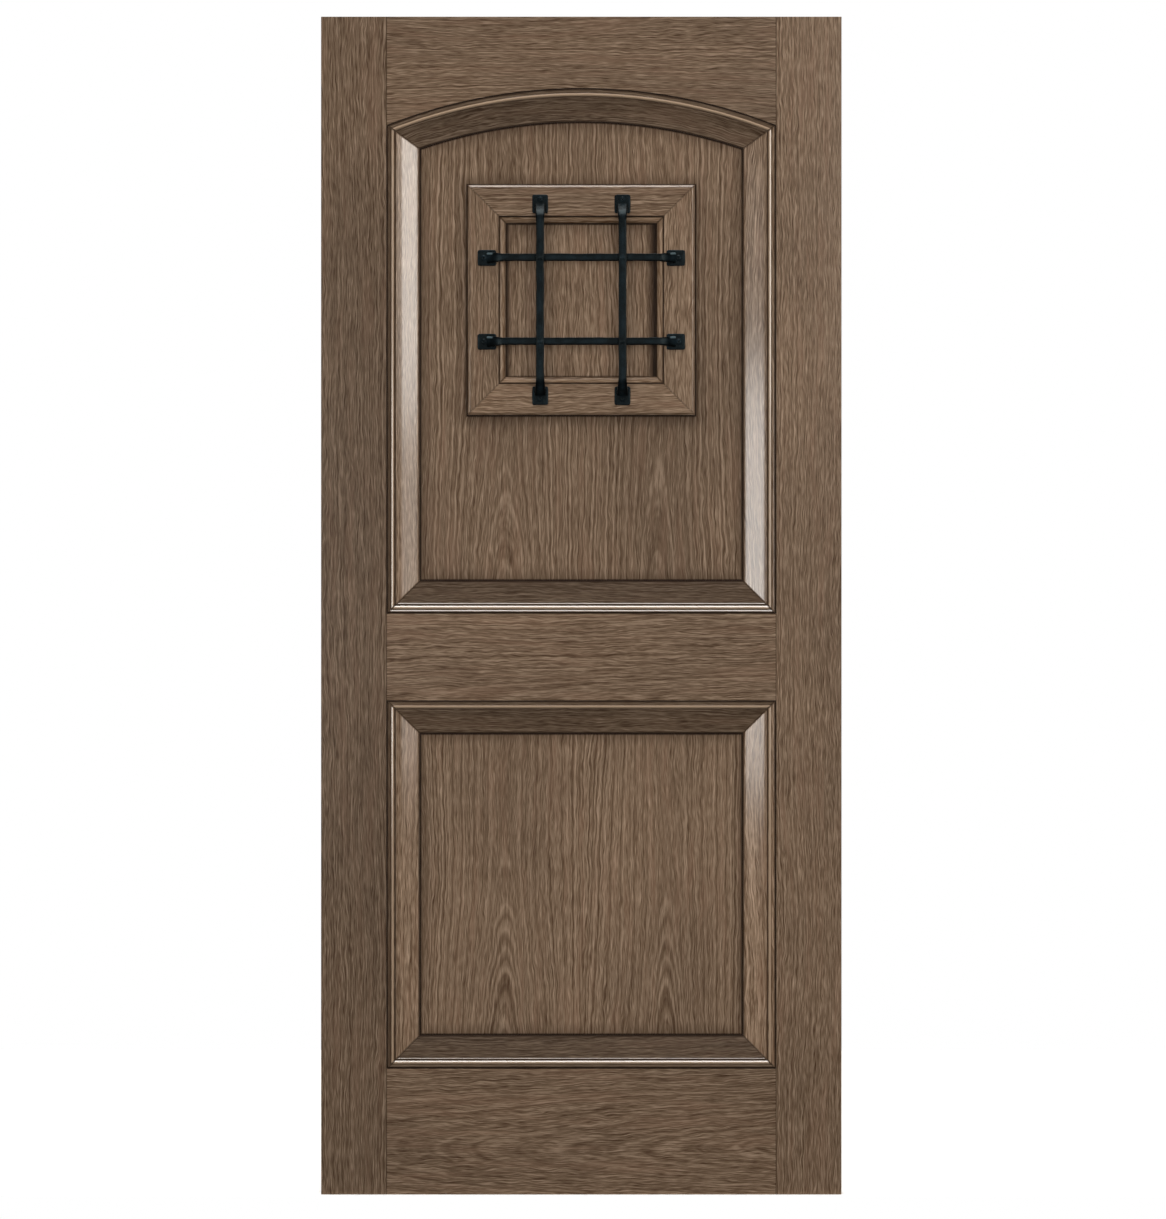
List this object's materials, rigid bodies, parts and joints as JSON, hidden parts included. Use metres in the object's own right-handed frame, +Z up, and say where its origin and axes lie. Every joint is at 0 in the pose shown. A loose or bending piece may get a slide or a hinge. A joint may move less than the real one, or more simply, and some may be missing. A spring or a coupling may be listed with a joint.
{
  "type": "wine cellar door leaf",
  "caption": "Two-panel oak door leaf with an arched upper panel, mitred cove mouldings and a small shuttered hatch behind a forged iron grille.",
  "frame": {"origin": "foot of the hinge edge's flat face, in mid thickness", "axes": "+X from the hinge edge to the lock edge, +Y from the front face with the grille to the back face, +Z up"},
  "size_m": [0.898, 0.0784, 2.032],
  "materials": {
    "oak_stile": "grey-brown stained oak, satin",
    "oak_rail": "grey-brown stained oak, satin",
    "oak_panel": "grey-brown stained oak, satin",
    "oak_moulding": "grey-brown stained oak with a dark glaze in its quirks, satin",
    "oak_hatch": "grey-brown stained oak, satin",
    "black_iron": "black forged iron, matt"
  },
  "bodies": {
    "leaf": {"back_hatch_trim_cross": "oak_hatch", "back_hatch_trim_sides": "oak_hatch", "back_lower_moulding_cross": "oak_moulding", "back_lower_moulding_sides": "oak_moulding", "back_upper_moulding_cross": "oak_moulding", "back_upper_moulding_sides": "oak_moulding", "bottom_rail": "oak_rail", "front_lower_moulding_bottom": "oak_moulding", "front_lower_moulding_left": "oak_moulding", "front_lower_moulding_right": "oak_moulding", "front_lower_moulding_top": "oak_moulding", "front_upper_moulding_bottom": "oak_moulding", "front_upper_moulding_left": "oak_moulding", "front_upper_moulding_right": "oak_moulding", "front_upper_moulding_top": "oak_moulding", "grille_bar_horizontal_lower": "black_iron", "grille_bar_horizontal_upper": "black_iron", "grille_bar_vertical_left": "black_iron", "grille_bar_vertical_right": "black_iron", "grille_rivets": "black_iron", "hatch_hinge_fixed_leaves": "black_iron", "hatch_hinge_pins": "black_iron", "hatch_liner_cross": "oak_hatch", "hatch_liner_sides": "oak_hatch", "hatch_stop_bead_cross": "oak_hatch", "hatch_stop_bead_sides": "oak_hatch", "hatch_trim_bottom": "oak_hatch", "hatch_trim_left": "oak_hatch", "hatch_trim_right": "oak_hatch", "hatch_trim_top": "oak_hatch", "left_stile": "oak_stile", "lock_rail": "oak_rail", "lower_panel": "oak_panel", "right_stile": "oak_stile", "top_rail": "oak_rail", "upper_panel": "oak_panel"},
    "shutter": {"hatch_shutter": "oak_hatch", "hatch_hinge_moving_leaves": "black_iron", "hatch_knob": "black_iron"}
  },
  "joints": [
    {"name": "shutter_swing", "type": "hinge", "parent": "leaf", "child": "shutter", "pos_m": [0.31, 0.0093, 1.5435], "axis": [0, 0, 1], "range_deg": [0, 90]}
  ]
}
